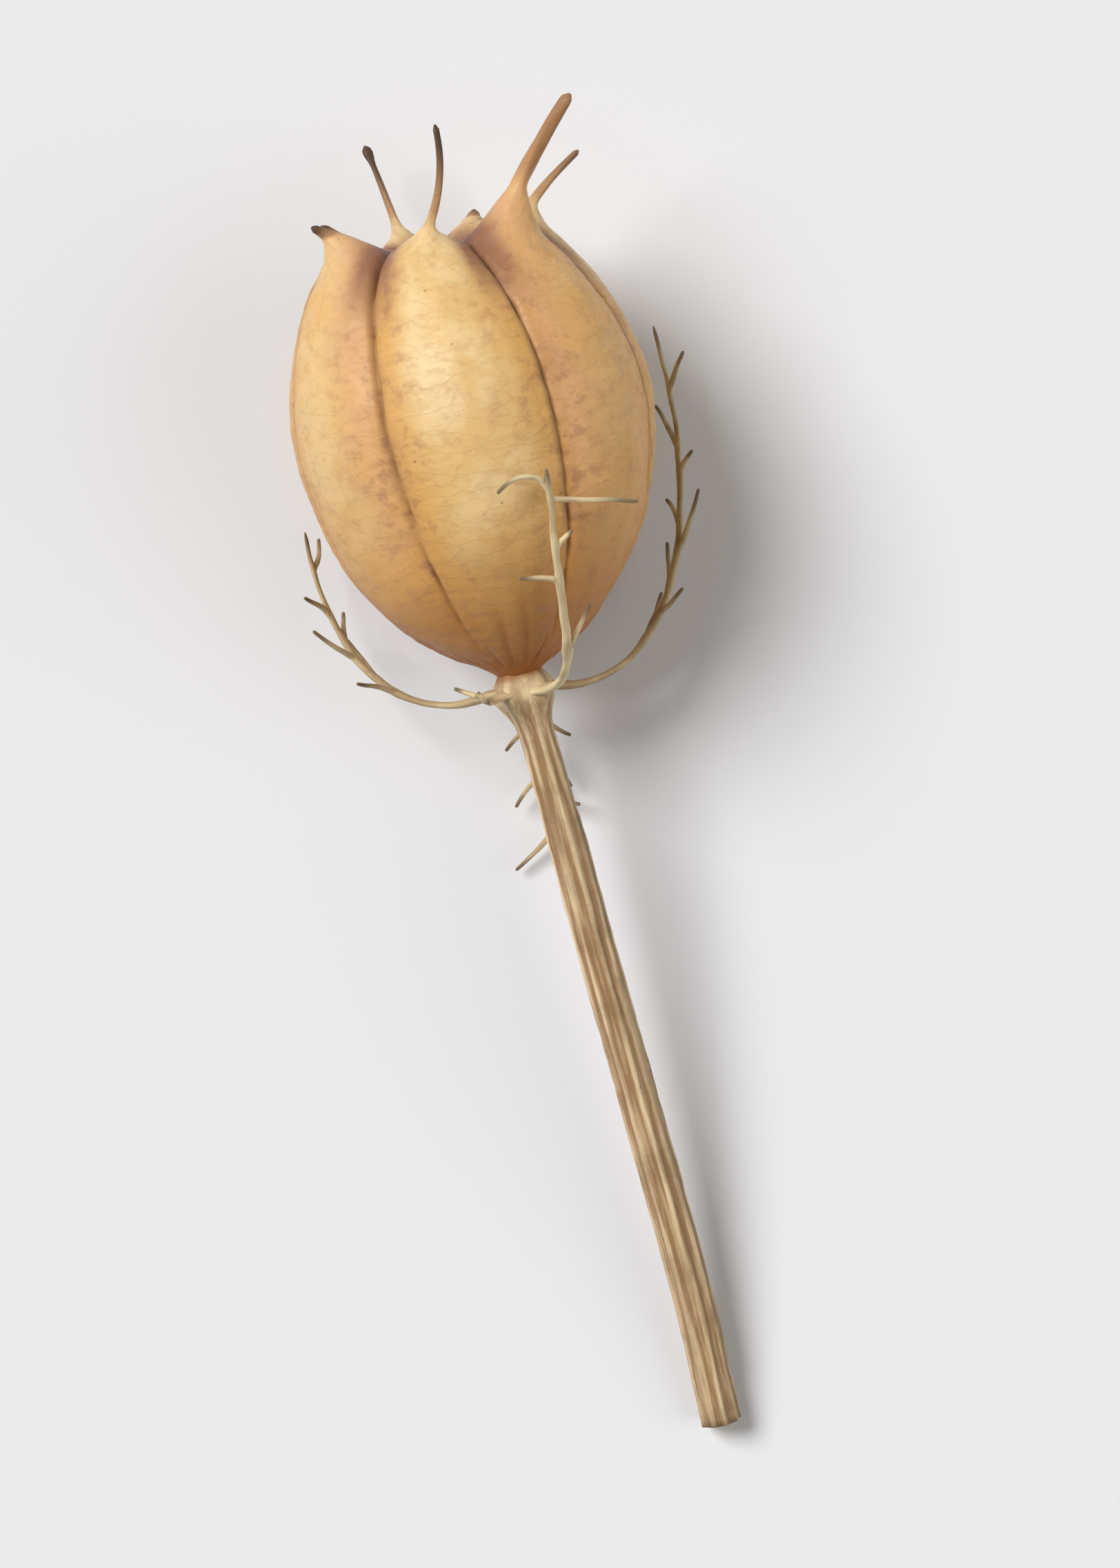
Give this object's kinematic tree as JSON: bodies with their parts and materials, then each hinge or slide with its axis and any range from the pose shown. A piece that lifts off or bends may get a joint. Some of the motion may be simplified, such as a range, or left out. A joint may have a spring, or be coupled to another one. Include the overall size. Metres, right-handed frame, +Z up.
{
  "type": "nigella seed pod",
  "caption": "Dried lobed seed capsule with horn-like styles, thread-like bracts and a cut ribbed stalk, lying on its side.",
  "frame": {"origin": "middle of the footprint, on the surface that the pod lies on", "axes": "+Y along the pod from the cut end of its stalk to its crown, +Z up out of the surface"},
  "size_m": [0.0254, 0.0788, 0.0224],
  "materials": {
    "capsule": "dry papery skin, golden tan, mauve-brown along the grooves, soft satin sheen",
    "stalk": "dry ribbed stem, pale tan ridges and grey-brown grooves, matte",
    "bract": "dry thread-like bracts, pale straw to olive brown, matte"
  },
  "bodies": {
    "root": {"capsule": "capsule", "stalk": "stalk", "bract_1": "bract", "bract_2": "bract", "bract_3": "bract", "bract_4": "bract", "bract_5": "bract"}
  },
  "joints": []
}
